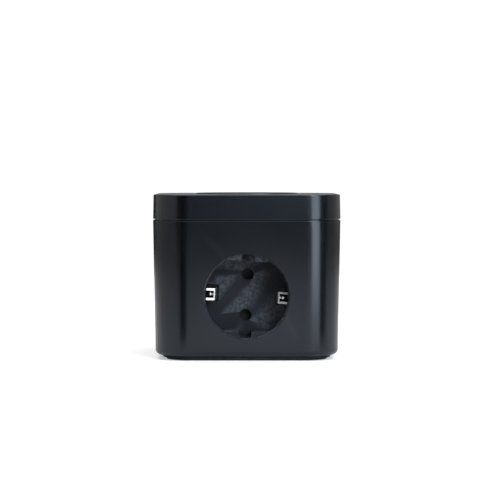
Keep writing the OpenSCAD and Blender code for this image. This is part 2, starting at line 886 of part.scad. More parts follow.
module status_leds() {
    color([0.95, 0.95, 0.85])
        for (turn = [0:3])
            rotate([0, 0, 90 * turn])
                translate([ui_board_w / 2 - 3.4, -0.8, ui_top])
                    cube([1.6, 1.6, 0.8]);
}

// ---- Main board and its parts ----

module tab_slot(x, y, w) {
    on_outlet()
        translate([x - w / 2 - 0.3, y - metal_t / 2 - 0.3, tab_end_z - 1])
            cube([w + 0.6, metal_t + 0.6, 12]);
}

module main_board() {
    color(board_green)
        difference() {
            translate([-main_board_w / 2, board_y, board_z])
                cube([main_board_w, board_t, board_top - board_z - fit_gap]);
            tab_slot(0, pin_pitch / 2, tab_w);
            tab_slot(0, -pin_pitch / 2, tab_w);
            tab_slot(earth_tab_x, 0, earth_tab_w);
        }
}

// A box on the board's rear face, at [x, z] with [width, height, depth], lifted off the board by a step
module board_box(at, size, step = 0) {
    translate([at[0], parts_y + step, at[1]])
        cube([size[0], size[2], size[1]]);
}

module relay() {
    color([0.1, 0.25, 0.55])
        difference() {
            board_box(relay_at, relay_size);
            board_box(relay_at + [2, 2], [relay_vent, relay_vent, 1], relay_size[2] - 0.5);
        }
}

module transformer() {
    middle = transformer_at + [transformer_size[0] / 2, transformer_size[1] / 2];
    side = [core_t, transformer_size[1] - 8, transformer_size[2] - 1];
    slab = [transformer_size[0], transformer_size[1], core_t];
    color([0.25, 0.24, 0.23]) {
        board_box(transformer_at, slab);
        board_box(transformer_at, slab, transformer_size[2] - core_t);
        for (x = [0, transformer_size[0] - core_t])
            board_box(transformer_at + [x, 4], side, over);
        rod_y(parts_y + 2, parts_y + transformer_size[2] - 2, middle[0], middle[1], coil_r);
    }
}

module bulk_capacitors() {
    color([0.1, 0.1, 0.15])
        for (i = [0, 1])
            rod_y(parts_y, parts_y + capacitor_sizes[i][1], capacitor_places[i][0], capacitor_places[i][1],
                capacitor_sizes[i][0]);
}

module film_capacitor() {
    color([0.85, 0.7, 0.2])
        board_box(film_at, film_size);
}

module varistor() {
    middle_z = varistor_at[1] + varistor_r;
    color([0.15, 0.35, 0.6]) {
        translate([varistor_at[0], parts_y + varistor_r + 2, middle_z])
            rotate([0, 90, 0])
                cylinder(h = varistor_t, r = varistor_r, $fn = small_smooth);
        for (z = [-2.5, 2.5])
            rod_y(parts_y, parts_y + 4, varistor_at[0] + varistor_t / 2, middle_z + z, lead_r);
    }
}

module fuse() {
    middle_z = fuse_at[1] + fuse_r;
    color([0.8, 0.78, 0.7]) {
        translate([fuse_at[0], parts_y + fuse_r + 0.6, middle_z])
            rotate([0, 90, 0])
                cylinder(h = fuse_len, r = fuse_r, $fn = small_smooth);
        for (x = [2, fuse_len - 2])
            rod_y(parts_y, parts_y + fuse_r, fuse_at[0] + x, middle_z, lead_r);
    }
}

module bridge_rectifier() {
    color(inner_black)
        board_box(bridge_at, bridge_size);
}

module choke() {
    waist_r = choke_r - 1.1;
    color([0.3, 0.3, 0.32])
        translate([choke_at[0], parts_y, choke_at[1]])
            rotate([-90, 0, 0])
                rotate_extrude($fn = small_smooth)
                    polygon([[0, 0], [choke_r, 0], [choke_r, choke_rim], [waist_r, choke_rim],
                        [waist_r, choke_h - choke_rim], [choke_r, choke_h - choke_rim], [choke_r, choke_h],
                        [0, choke_h]]);
}

module wifi_module() {
    color([0.1, 0.2, 0.45])
        board_box(wifi_at, wifi_size);
}

module wifi_shield() {
    color(steel)
        board_box(wifi_at + [shield_inset, shield_inset], shield_size, wifi_size[2]);
}

module metering_chip() {
    color(inner_black)
        board_box(chip_at, chip_size);
}

module terminal_block() {
    middle = terminal_at[0] + terminal_size[0] / 2;
    top = terminal_at[1] + terminal_size[1];
    entry_z = terminal_at[1] + 4;
    color([0.15, 0.4, 0.2])
        difference() {
            board_box(terminal_at, terminal_size);
            for (x = [-terminal_pitch, 0, terminal_pitch]) {
                rod_y(parts_y + 4, parts_y + terminal_size[2] + 1, middle + x, entry_z, terminal_entry_r);
                translate([middle + x, parts_y + terminal_size[2] / 2, entry_z])
                    cylinder(h = top - entry_z, r = terminal_screw_r + fit_gap, $fn = small_smooth);
                translate([middle + x, parts_y + terminal_size[2] / 2, top - terminal_head_h - 0.6])
                    cylinder(h = terminal_head_h + 1, r = terminal_head_r + fit_gap, $fn = small_smooth);
            }
        }
}

module terminal_screws() {
    middle = terminal_at[0] + terminal_size[0] / 2;
    top = terminal_at[1] + terminal_size[1];
    color(steel)
        for (x = [-terminal_pitch, 0, terminal_pitch])
            translate([middle + x, parts_y + terminal_size[2] / 2, top - 0.6])
                screw(terminal_head_r, terminal_head_h, terminal_screw_r, 2);
}

module board_connectors() {
    color([0.9, 0.88, 0.82]) {
        board_box(connector_at, connector_size);
        translate([-connector_size[0] / 2, ui_plug_y - 2.5, ui_top - board_t - ui_plug_h])
            cube([connector_size[0], 5, ui_plug_h]);
    }
}

module board_cable() {
    cable_z = connector_at[1] + connector_size[1] / 2;
    centre = [ui_plug_y - cable_bend_r, cable_z + cable_bend_r];
    start_y = parts_y + connector_size[2];
    end_z = ui_top - board_t - ui_plug_h;
    color([0.3, 0.3, 0.32])
        translate([-cable_w / 2, 0, 0])
            rotate([90, 0, 90])
                linear_extrude(cable_w)
                    polygon(concat([[start_y, cable_z + cable_t / 2]],
                        arc_points(centre, cable_bend_r - cable_t / 2, -90, 0, 8),
                        [[ui_plug_y - cable_t / 2, end_z], [ui_plug_y + cable_t / 2, end_z]],
                        arc_points(centre, cable_bend_r + cable_t / 2, 0, -90, 8),
                        [[start_y, cable_z - cable_t / 2]]));
}

// ---- Cord entry ----

// The opening in the back wall, or what fills it with a negative grow
module cord_opening(grow) {
    h = cord_plate_top - cord_plate_z + 2 * grow;
    translate([0, half_w + 1, (cord_plate_z + cord_plate_top) / 2])
        rotate([90, 0, 0])
            plate(cord_plate_w + 2 * grow, h, 0, side_lean + wall + 4, 2);
}

// Fills the opening flush with the back wall, and laps behind the wall on both sides and above
module cord_plate() {
    lap_r = corner_r - wall - touch_gap;
    lap_top = cord_plate_top + cord_plate_lap;
    in_low = side_in(floor_z);
    in_high = side_in(lap_top + 1);
    color(inner_black)
        difference() {
            union() {
                intersection() {
                    difference() {
                        outer_body();
                        round_block(corner_c, body_z, lap_r - side_in(body_z) - 0.3, seam_z, lap_r - 0.3);
                    }
                    cord_opening(0);
                }
                intersection() {
                    difference() {
                        round_block(corner_c, floor_z, lap_r - in_low, lap_top + 1, lap_r - in_high);
                        round_block(corner_c, floor_z - over, lap_r - in_low - cord_plate_lap_t,
                            lap_top + 2, lap_r - in_high - cord_plate_lap_t);
                    }
                    translate([-cord_plate_w / 2 - cord_plate_lap, 0, cord_plate_z])
                        cube([cord_plate_w + 2 * cord_plate_lap, half_w, lap_top - cord_plate_z]);
                }
            }
            rod_y(0, half_w + 1, 0, gland_z, gland_r + fit_gap);
        }
}

module cord_gland() {
    color(inner_black)
        difference() {
            union() {
                rod_y(gland_in_y, gland_flange_y + over, 0, gland_z, gland_r);
                rod_y(gland_flange_y, gland_flange_y + gland_flange_t, 0, gland_z, gland_flange_r, smooth);
            }
            rod_y(gland_in_y - 1, gland_flange_y + 3, 0, gland_z, gland_bore_r);
        }
}

module gland_nut() {
    color([0.2, 0.2, 0.21])
        difference() {
            rod_y(gland_nut_y, gland_nut_y + gland_nut_t, 0, gland_z, gland_nut_r, 6);
            rod_y(gland_nut_y - 1, gland_nut_y + gland_nut_t + 1, 0, gland_z, gland_r + touch_gap);
        }
}

module cord_clamp() {
    color(inner_black)
        difference() {
            translate([-clamp_screw_x - clamp_boss_r, clamp_y - clamp_w / 2, gland_z + touch_gap])
                cube([2 * (clamp_screw_x + clamp_boss_r), clamp_w, clamp_bore_r + 1.8]);
            rod_y(clamp_y - clamp_w, clamp_y + clamp_w, 0, gland_z, clamp_bore_r);
            for (x = [-clamp_screw_x, clamp_screw_x])
                translate([x, clamp_y, gland_z - 1]) {
                    cylinder(h = 10, r = small_screw_r + fit_gap, $fn = small_smooth);
                    translate([0, 0, clamp_bore_r])
                        cylinder(h = 10, r = small_head_r + 0.3, $fn = small_smooth);
                }
        }
}

module clamp_screws() {
    color(steel)
        for (x = [-clamp_screw_x, clamp_screw_x])
            translate([x, clamp_y, gland_z + clamp_bore_r - 1 + small_head_h])
                screw(small_head_r, small_head_h, small_screw_r, clamp_bore_r + 4);
}

body_shell();
top_cap();
light_ring();
power_button();
button_spring();
ui_board();
ui_board_screws();
tact_switch();
switch_plunger();
status_leds();
housing_screws();
base_tray();
base_pad();
socket_insert();
socket_screws();
contact_carrier();
carrier_screws();
line_contact();
neutral_contact();
earth_strap();
earth_clip_left();
earth_clip_right();
shutter();
shutter_spring();
main_board();
relay();
transformer();
bulk_capacitors();
film_capacitor();
varistor();
fuse();
bridge_rectifier();
choke();
wifi_module();
wifi_shield();
metering_chip();
terminal_block();
terminal_screws();
board_connectors();
board_cable();
cord_plate();
cord_gland();
gland_nut();
cord_clamp();
clamp_screws();
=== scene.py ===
"""Looks of a table-top smart outlet: finished shells, fasteners, finishes and a plain studio."""
import json
from math import cos, pi, radians, sin

import bmesh
import bpy
from mathutils import Matrix, Vector

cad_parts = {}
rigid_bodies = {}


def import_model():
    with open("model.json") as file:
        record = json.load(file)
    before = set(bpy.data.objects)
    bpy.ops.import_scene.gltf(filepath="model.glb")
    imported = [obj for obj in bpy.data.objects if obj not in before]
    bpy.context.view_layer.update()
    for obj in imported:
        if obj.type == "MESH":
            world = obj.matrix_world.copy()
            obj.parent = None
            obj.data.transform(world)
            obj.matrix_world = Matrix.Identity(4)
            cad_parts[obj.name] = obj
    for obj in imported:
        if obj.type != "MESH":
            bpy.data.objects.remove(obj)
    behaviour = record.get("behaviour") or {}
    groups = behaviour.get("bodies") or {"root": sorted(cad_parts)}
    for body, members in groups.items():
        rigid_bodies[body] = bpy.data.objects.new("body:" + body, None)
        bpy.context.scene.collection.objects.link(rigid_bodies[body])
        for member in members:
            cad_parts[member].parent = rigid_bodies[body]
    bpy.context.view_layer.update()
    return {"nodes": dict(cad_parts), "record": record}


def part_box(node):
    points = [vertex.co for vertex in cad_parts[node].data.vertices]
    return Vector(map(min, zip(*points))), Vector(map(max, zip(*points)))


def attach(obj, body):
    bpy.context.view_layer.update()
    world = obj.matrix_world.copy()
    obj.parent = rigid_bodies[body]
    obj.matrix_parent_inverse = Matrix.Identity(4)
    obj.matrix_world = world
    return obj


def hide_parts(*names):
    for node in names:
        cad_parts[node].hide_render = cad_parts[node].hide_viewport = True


for leftover in list(bpy.data.objects):
    bpy.data.objects.remove(leftover)

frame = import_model()
nodes = frame["nodes"]
slot_of = {part["node"]: part["material_slot"] for part in frame["record"]["subparts"]}
bodies = frame["record"]["behaviour"]["bodies"]
body_of = {name: body for body, names in bodies.items() for name in names}

MM = 0.001
OUTLET_Z = 29.5 * MM
OUTLET_TURN = radians(3)
CASE_FACE_Y = -43.5 * MM


# ---- Shader building blocks ----

def fill(tree, node, name, value):
    """Sets one input of a node, given by name or number, or links a socket into it."""
    socket = node.inputs[name]
    if isinstance(value, bpy.types.NodeSocket):
        tree.links.new(value, socket)
    else:
        socket.default_value = value


def new_group(name, inputs, outputs):
    """A shader node group with given sockets. Returns its tree, its input node and its output node."""
    tree = bpy.data.node_groups.new(name, "ShaderNodeTree")
    for socket_name, kind, value in inputs:
        socket = tree.interface.new_socket(socket_name, in_out="INPUT", socket_type=kind)
        if value is not None:
            socket.default_value = value
    for socket_name, kind in outputs:
        tree.interface.new_socket(socket_name, in_out="OUTPUT", socket_type=kind)
    start = tree.nodes.new("NodeGroupInput")
    end = tree.nodes.new("NodeGroupOutput")
    return tree, start, end


FLOAT = "NodeSocketFloat"
COLOUR = "NodeSocketColor"
VECTOR = "NodeSocketVector"


def noise(tree, place, scale, detail=2.0, rough=0.5):
    """A noise texture's height, read at a place."""
    node = tree.nodes.new("ShaderNodeTexNoise")
    fill(tree, node, "Vector", place)
    fill(tree, node, "Scale", scale)
    fill(tree, node, "Detail", detail)
    fill(tree, node, "Roughness", rough)
    return node.outputs["Fac"]


def maths(tree, operation, first, second, third=None):
    """One arithmetic step between sockets or numbers."""
    node = tree.nodes.new("ShaderNodeMath")
    node.operation = operation
    fill(tree, node, 0, first)
    fill(tree, node, 1, second)
    if third is not None:
        fill(tree, node, 2, third)
    return node.outputs[0]


def remap(tree, value, from_low, from_high, to_low, to_high):
    """Stretches a value from one range to another, and keeps it inside."""
    node = tree.nodes.new("ShaderNodeMapRange")
    fill(tree, node, "Value", value)
    fill(tree, node, "From Min", from_low)
    fill(tree, node, "From Max", from_high)
    fill(tree, node, "To Min", to_low)
    fill(tree, node, "To Max", to_high)
    return node.outputs["Result"]


def blend_colours(tree, share, first, second):
    """Mixes two colours by a share."""
    node = tree.nodes.new("ShaderNodeMix")
    node.data_type = "RGBA"
    fill(tree, node, 0, share)
    fill(tree, node, 6, first)
    fill(tree, node, 7, second)
    return node.outputs[2]


def build_surface_grain():
    """Fine grain of a moulded, cast or coated face, with slow drifts of tone and gloss over it."""
    tree, start, end = new_group(
        "surface_grain",
        [("Place", VECTOR, None), ("Grain Scale", FLOAT, 5000.0), ("Drift Scale", FLOAT, 40.0),
         ("Dark", COLOUR, (0.01, 0.01, 0.01, 1)), ("Light", COLOUR, (0.02, 0.02, 0.02, 1)),
         ("Gloss Low", FLOAT, 0.3), ("Gloss High", FLOAT, 0.4), ("Grain Share", FLOAT, 0.3)],
        [("Colour", COLOUR), ("Roughness", FLOAT), ("Height", FLOAT)])
    place = start.outputs["Place"]
    grain = noise(tree, place, start.outputs["Grain Scale"], 3.0, 0.6)
    drift = noise(tree, place, start.outputs["Drift Scale"], 4.0, 0.55)
    share = start.outputs["Grain Share"]
    rest = maths(tree, "SUBTRACT", 1.0, share)
    fine = maths(tree, "MULTIPLY", grain, share)
    coarse = maths(tree, "MULTIPLY", drift, rest)
    both = maths(tree, "ADD", fine, coarse)
    tone = remap(tree, both, 0.3, 0.7, 0.0, 1.0)
    colour = blend_colours(tree, tone, start.outputs["Dark"], start.outputs["Light"])
    slow = remap(tree, drift, 0.35, 0.65, start.outputs["Gloss Low"], start.outputs["Gloss High"])
    fill(tree, end, "Colour", colour)
    fill(tree, end, "Roughness", slow)
    fill(tree, end, "Height", grain)
    return tree


def build_edge_scuff_and_highlight():
    """Lighter, smoother edges, partly real scuffing and partly a painted highlight: a mask from the
    sharpness of an edge, broken up by noise.
    """
    tree, start, end = new_group(
        "edge_wear",
        [("Place", VECTOR, None), ("Start", FLOAT, 0.52), ("Full", FLOAT, 0.6), ("Amount", FLOAT, 0.3),
         ("Colour", COLOUR, (0.02, 0.02, 0.02, 1)), ("Worn Colour", COLOUR, (0.06, 0.06, 0.06, 1)),
         ("Roughness", FLOAT, 0.35), ("Worn Roughness", FLOAT, 0.2)],
        [("Colour", COLOUR), ("Roughness", FLOAT), ("Mask", FLOAT)])
    geometry = tree.nodes.new("ShaderNodeNewGeometry")
    sharp = remap(tree, geometry.outputs["Pointiness"],
                  start.outputs["Start"], start.outputs["Full"], 0.0, 1.0)
    broken = remap(tree, noise(tree, start.outputs["Place"], 700.0, 3.0), 0.35, 0.6, 0.25, 1.0)
    # This mask lightens sharp edges: real scuffing, and on the outlet moulding a painted highlight.
    scuffed_and_highlighted = maths(tree, "MULTIPLY", sharp, broken)
    mask = maths(tree, "MULTIPLY", scuffed_and_highlighted, start.outputs["Amount"])
    fill(tree, end, "Colour",
         blend_colours(tree, mask, start.outputs["Colour"], start.outputs["Worn Colour"]))
    fill(tree, end, "Roughness",
         remap(tree, mask, 0.0, 1.0, start.outputs["Roughness"], start.outputs["Worn Roughness"]))
    fill(tree, end, "Mask", mask)
    return tree


def build_drawn_lines():
    """Fine lines left along a drawn, rolled or turned metal, and its faint stains."""
    tree, start, end = new_group(
        "drawn_lines",
        [("Place", VECTOR, None), ("Line Scale", FLOAT, 4000.0), ("Across", VECTOR, (1.0, 1.0, 0.03)),
         ("Dark", COLOUR, (0.4, 0.4, 0.4, 1)), ("Light", COLOUR, (0.8, 0.8, 0.8, 1)),
         ("Gloss Low", FLOAT, 0.15), ("Gloss High", FLOAT, 0.35)],
        [("Colour", COLOUR), ("Roughness", FLOAT), ("Height", FLOAT)])
    squeeze = tree.nodes.new("ShaderNodeVectorMath")
    squeeze.operation = "MULTIPLY"
    fill(tree, squeeze, 0, start.outputs["Place"])
    fill(tree, squeeze, 1, start.outputs["Across"])
    lines = noise(tree, squeeze.outputs[0], start.outputs["Line Scale"], 2.0)
    stains = noise(tree, start.outputs["Place"], 260.0, 5.0, 0.6)
    tone = remap(tree, maths(tree, "ADD", lines, stains), 0.7, 1.3, 0.0, 1.0)
    fill(tree, end, "Colour", blend_colours(tree, tone, start.outputs["Dark"], start.outputs["Light"]))
    fill(tree, end, "Roughness",
         remap(tree, stains, 0.35, 0.65, start.outputs["Gloss Low"], start.outputs["Gloss High"]))
    fill(tree, end, "Height", lines)
    return tree


SURFACE_GRAIN = build_surface_grain()
EDGE_SCUFF_AND_HIGHLIGHT = build_edge_scuff_and_highlight()
DRAWN_LINES = build_drawn_lines()


def use_group(tree, group, **inputs):
    """Places a shader node group in a material, with its own values."""
    node = tree.nodes.new("ShaderNodeGroup")
    node.node_tree = group
    for name, value in inputs.items():
        fill(tree, node, name.replace("_", " "), value)
    return node


def rgb(r, g, b):
    return (r, g, b, 1.0)


def start_material(name):
    """A bare material with its shader, and the place on the piece that patterns are read at."""
    material = bpy.data.materials.new(name)
    material.use_nodes = True
    tree = material.node_tree
    shader = tree.nodes["Principled BSDF"]
    place = tree.nodes.new("ShaderNodeTexCoord").outputs["Object"]
    return material, tree, shader, place


def raise_surface(tree, shader, height, depth):
    """Feeds a height to the shader as a bump of a real depth in metres."""
    bump = tree.nodes.new("ShaderNodeBump")
    bump.inputs["Strength"].default_value = 1.0
    bump.inputs["Distance"].default_value = depth
    tree.links.new(height, bump.inputs["Height"])
    tree.links.new(bump.outputs["Normal"], shader.inputs["Normal"])


def moulded_finish(name, dark, light, gloss=(0.3, 0.4), grain=5000.0, drift=45.0, depth=0.00001,
                   scuff_and_highlight_colour=(0.06, 0.06, 0.065), scuff_and_highlight_amount=0.35, specular=0.5, tint=(1.0, 1.0, 1.0, 1.0)):
    """Moulded plastic, rubber, resin or ceramic: grain, slow drifts of tone and gloss, and lighter edges
    that are real scuffing and, on the outlet moulding, a painted highlight.
    """
    material, tree, shader, place = start_material(name)
    surface = use_group(tree, SURFACE_GRAIN, Place=place, Grain_Scale=grain, Drift_Scale=drift,
                        Dark=rgb(*dark), Light=rgb(*light), Gloss_Low=gloss[0], Gloss_High=gloss[1])
    scuff_and_highlight_edge = use_group(tree, EDGE_SCUFF_AND_HIGHLIGHT, Place=place, Amount=scuff_and_highlight_amount, Colour=surface.outputs["Colour"],
                          Worn_Colour=rgb(*scuff_and_highlight_colour), Roughness=surface.outputs["Roughness"],
                          Worn_Roughness=max(0.1, gloss[0] - 0.08))
    tree.links.new(scuff_and_highlight_edge.outputs["Colour"], shader.inputs["Base Color"])
    tree.links.new(scuff_and_highlight_edge.outputs["Roughness"], shader.inputs["Roughness"])
    raise_surface(tree, shader, surface.outputs["Height"], depth)
    shader.inputs["Specular IOR Level"].default_value = specular
    shader.inputs["Specular Tint"].default_value = tint
    return material


def metal_finish(name, dark, light, gloss=(0.18, 0.35), line_scale=5000.0, across=(1.0, 1.0, 0.03),
                 depth=0.000004, scuff_and_highlight_colour=(0.95, 0.95, 0.95), scuff_and_highlight_amount=0.4):
    """A drawn, rolled or turned metal with fine lines, faint stains and bright edges."""
    material, tree, shader, place = start_material(name)
    surface = use_group(tree, DRAWN_LINES, Place=place, Line_Scale=line_scale, Across=across,
                        Dark=rgb(*dark), Light=rgb(*light), Gloss_Low=gloss[0], Gloss_High=gloss[1])
    scuff_and_highlight_edge = use_group(tree, EDGE_SCUFF_AND_HIGHLIGHT, Place=place, Amount=scuff_and_highlight_amount, Colour=surface.outputs["Colour"],
                          Worn_Colour=rgb(*scuff_and_highlight_colour), Roughness=surface.outputs["Roughness"],
                          Worn_Roughness=gloss[0])
    tree.links.new(scuff_and_highlight_edge.outputs["Colour"], shader.inputs["Base Color"])
    tree.links.new(scuff_and_highlight_edge.outputs["Roughness"], shader.inputs["Roughness"])
    raise_surface(tree, shader, surface.outputs["Height"], depth)
    shader.inputs["Metallic"].default_value = 1.0
    return material


# ---- Finishes, one for each of the record's slots ----

BLUISH = (0.84, 0.90, 1.0, 1.0)

finishes = {
    "case_plastic": moulded_finish("satin_case", (0.0014, 0.0018, 0.0024), (0.0024, 0.0029, 0.0038),
                                   gloss=(0.20, 0.235), grain=9000.0, drift=28.0, depth=0.000003,
                                   scuff_and_highlight_colour=(0.02, 0.022, 0.025), scuff_and_highlight_amount=0.3, tint=BLUISH),
    "button_plastic": moulded_finish("satin_button", (0.0016, 0.0020, 0.0026), (0.0026, 0.0031, 0.004),
                                     gloss=(0.28, 0.33), grain=9000.0, drift=32.0, depth=0.000004,
                                     scuff_and_highlight_colour=(0.02, 0.022, 0.025), scuff_and_highlight_amount=0.3, tint=BLUISH),
    # The outlet moulding's strong, light edge colour is a painted highlight on its rim and guide blocks, on
    # top of real scuffing.
    "insert_plastic": moulded_finish("outlet_moulding", (0.0165, 0.018, 0.0205), (0.0215, 0.0235, 0.0265),
                                     gloss=(0.4, 0.46), grain=7000.0, drift=60.0, depth=0.000004,
                                     scuff_and_highlight_colour=(0.10, 0.108, 0.12), scuff_and_highlight_amount=0.6, specular=0.06),
    "carrier_plastic": moulded_finish("carrier_moulding", (0.02, 0.02, 0.022), (0.03, 0.03, 0.033),
                                      gloss=(0.4, 0.52), grain=3500.0, drift=80.0, depth=0.000014),
    "light_guide": moulded_finish("frosted_ring", (0.20, 0.205, 0.215), (0.27, 0.275, 0.285),
                                  gloss=(0.32, 0.42), grain=5000.0, drift=120.0, depth=0.000008,
                                  scuff_and_highlight_colour=(0.4, 0.4, 0.41), scuff_and_highlight_amount=0.3),
    "pad_rubber": moulded_finish("foot_rubber", (0.008, 0.008, 0.0085), (0.016, 0.016, 0.017),
                                 gloss=(0.62, 0.8), grain=2600.0, drift=90.0, depth=0.00003,
                                 scuff_and_highlight_colour=(0.03, 0.03, 0.03), scuff_and_highlight_amount=0.5, specular=0.35),
    "nickel_clip": metal_finish("nickel_strip", (0.50, 0.49, 0.47), (0.66, 0.65, 0.63),
                                gloss=(0.28, 0.38), across=(0.05, 1.0, 1.0)),
    "screw_steel": metal_finish("zinc_screw", (0.42, 0.43, 0.45), (0.66, 0.67, 0.70), gloss=(0.25, 0.42)),
    "spring_steel": metal_finish("spring_wire", (0.35, 0.35, 0.36), (0.58, 0.58, 0.6), gloss=(0.2, 0.34)),
    "contact_brass": metal_finish("contact_strip", (0.56, 0.40, 0.16), (0.80, 0.61, 0.29),
                                  gloss=(0.2, 0.38), across=(1.0, 0.05, 1.0)),
    "board_laminate": moulded_finish("board_mask", (0.006, 0.045, 0.022), (0.012, 0.075, 0.036),
                                     gloss=(0.25, 0.36), grain=1400.0, drift=300.0, depth=0.00002,
                                     scuff_and_highlight_colour=(0.32, 0.28, 0.16), scuff_and_highlight_amount=0.35),
    "switch_plastic": moulded_finish("switch_body", (0.028, 0.028, 0.03), (0.045, 0.045, 0.048),
                                     gloss=(0.38, 0.5), grain=3800.0),
    "plunger_plastic": moulded_finish("switch_plunger", (0.30, 0.035, 0.02), (0.42, 0.055, 0.03),
                                      gloss=(0.3, 0.42), grain=4200.0, scuff_and_highlight_colour=(0.6, 0.2, 0.15)),
    "led_resin": moulded_finish("led_lens", (0.72, 0.70, 0.58), (0.86, 0.84, 0.74), gloss=(0.12, 0.22),
                                grain=3000.0, scuff_and_highlight_colour=(0.9, 0.9, 0.86)),
    "relay_case": moulded_finish("relay_cover", (0.010, 0.055, 0.16), (0.018, 0.085, 0.23),
                                 gloss=(0.22, 0.34), grain=3600.0, scuff_and_highlight_colour=(0.1, 0.2, 0.4)),
    "ferrite": moulded_finish("ferrite_core", (0.018, 0.018, 0.02), (0.045, 0.045, 0.048),
                              gloss=(0.55, 0.75), grain=2200.0, depth=0.00003, scuff_and_highlight_colour=(0.12, 0.12, 0.12)),
    "capacitor_sleeve": moulded_finish("capacitor_sleeve", (0.010, 0.012, 0.03), (0.02, 0.024, 0.055),
                                       gloss=(0.16, 0.28), grain=3000.0, scuff_and_highlight_colour=(0.2, 0.2, 0.24)),
    "film_case": moulded_finish("film_capacitor_case", (0.55, 0.38, 0.06), (0.70, 0.50, 0.10),
                                gloss=(0.3, 0.42), grain=3400.0, scuff_and_highlight_colour=(0.85, 0.7, 0.3)),
    "varistor_coat": moulded_finish("varistor_coating", (0.010, 0.07, 0.20), (0.018, 0.11, 0.30),
                                    gloss=(0.3, 0.5), grain=1500.0, depth=0.00003, scuff_and_highlight_colour=(0.1, 0.25, 0.5)),
    "fuse_ceramic": moulded_finish("fuse_tube", (0.62, 0.60, 0.54), (0.76, 0.74, 0.68),
                                   gloss=(0.25, 0.4), grain=2600.0, scuff_and_highlight_colour=(0.85, 0.84, 0.8)),
    "chip_epoxy": moulded_finish("chip_moulding", (0.012, 0.012, 0.013), (0.026, 0.026, 0.028),
                                 gloss=(0.5, 0.68), grain=5200.0, depth=0.000016, scuff_and_highlight_colour=(0.08, 0.08, 0.08)),
    "radio_board": moulded_finish("radio_board_mask", (0.006, 0.02, 0.06), (0.012, 0.035, 0.10),
                                  gloss=(0.25, 0.36), grain=1600.0, drift=300.0, scuff_and_highlight_colour=(0.3, 0.28, 0.2)),
    "shield_tin": metal_finish("shield_can", (0.50, 0.50, 0.50), (0.70, 0.70, 0.69), gloss=(0.25, 0.45)),
    "terminal_green": moulded_finish("terminal_body", (0.012, 0.13, 0.045), (0.02, 0.20, 0.07),
                                     gloss=(0.32, 0.45), grain=3600.0, scuff_and_highlight_colour=(0.1, 0.4, 0.2)),
    "connector_nylon": moulded_finish("connector_nylon", (0.60, 0.58, 0.52), (0.74, 0.72, 0.66),
                                      gloss=(0.4, 0.55), grain=3200.0, scuff_and_highlight_colour=(0.85, 0.84, 0.8)),
    "cable_jacket": moulded_finish("ribbon_jacket", (0.32, 0.32, 0.34), (0.46, 0.46, 0.48),
                                   gloss=(0.4, 0.55), grain=2800.0, scuff_and_highlight_colour=(0.6, 0.6, 0.6)),
}

for node_name, node_object in nodes.items():
    if not node_object.material_slots:
        node_object.data.materials.append(None)
    for material_slot in node_object.material_slots:
        material_slot.material = finishes[slot_of[node_name]]


# ---- Finished shells: a CAD node's own shape with joined faces, broken edges and clean shading ----

SAME_POINT = 0.002 * MM
FLAT = radians(0.4)
SHARP = radians(34)


def broken_edge_copy(node_name, piece_name, edge=0.2 * MM, steps=2):
    """Copies a CAD node, joins its triangles, breaks its sharp edges and shades the curves smooth."""
    mesh = nodes[node_name].data.copy()
    mesh.name = piece_name
    work = bmesh.new()
    work.from_mesh(mesh)
    bmesh.ops.remove_doubles(work, verts=work.verts, dist=SAME_POINT)
    bmesh.ops.dissolve_limit(work, angle_limit=FLAT, verts=work.verts, edges=work.edges,
                             use_dissolve_boundaries=False)
    for face in work.faces:
        face.smooth = True
    work.to_mesh(mesh)
    work.free()
    mesh.validate()
    piece = bpy.data.objects.new(piece_name, mesh)
    bpy.context.scene.collection.objects.link(piece)
    if edge:
        break_edges = piece.modifiers.new("break_edges", "BEVEL")
        break_edges.width = edge
        break_edges.segments = steps
        break_edges.limit_method = "ANGLE"
        break_edges.angle_limit = SHARP
        break_edges.miter_outer = "MITER_ARC"
        break_edges.harden_normals = False
        break_edges.use_clamp_overlap = True
    even = piece.modifiers.new("even_shading", "WEIGHTED_NORMAL")
    even.weight = 60
    even.keep_sharp = True
    return settle(piece)


def settle(piece):
    """Turns a piece's live modifiers into a plain mesh."""
    graph = bpy.context.evaluated_depsgraph_get()
    graph.update()
    made = bpy.data.meshes.new_from_object(piece.evaluated_get(graph), preserve_all_data_layers=True,
                                           depsgraph=graph)
    piece.modifiers.clear()
    piece.data = made
    return piece


def hand_over(piece, node_name, finish=None):
    """Gives a finished piece its finish, and the body and slot of the CAD node that it stands for."""
    slot = slot_of[node_name]
    piece.data.materials.clear()
    piece.data.materials.append(finish or finishes[slot])
    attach(piece, body_of[node_name])
    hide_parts(node_name)
    return piece


def finish_node(node_name, piece_name, edge=0.2 * MM, steps=2, finish=None):
    """Replaces one CAD node by its broken-edge copy, in the same place and on the same body."""
    return hand_over(broken_edge_copy(node_name, piece_name, edge, steps), node_name, finish)


shutter_black = moulded_finish("shutter_black", (0.0006, 0.0006, 0.0007), (0.0012, 0.0012, 0.0013),
                               gloss=(0.62, 0.75), grain=5200.0, drift=90.0, depth=0.00001,
                               scuff_and_highlight_colour=(0.004, 0.004, 0.004), specular=0.25)


finish_node("body_shell", "case_body", 0.25 * MM)
finish_node("top_cap", "case_cap", 0.2 * MM)
finish_node("power_button", "round_button", 0.0)
finish_node("light_ring", "status_ring", 0.08 * MM)
finish_node("base_tray", "foot_tray", 0.15 * MM)
finish_node("base_pad", "foot_pad", 0.15 * MM)
finish_node("socket_insert", "outlet_cup", 0.2 * MM)
finish_node("shutter", "pin_shutter", 0.1 * MM, finish=shutter_black)
finish_node("earth_clip_left", "left_clip", 0.1 * MM)
finish_node("earth_clip_right", "right_clip", 0.1 * MM)
finish_node("cord_plate", "rear_plate", 0.2 * MM)
finish_node("cord_gland", "cord_bush", 0.2 * MM)


# ---- Screws and the flat spring, grown from a few sizes ----

GEOMETRY = "NodeSocketGeometry"
MATERIAL = "NodeSocketMaterial"


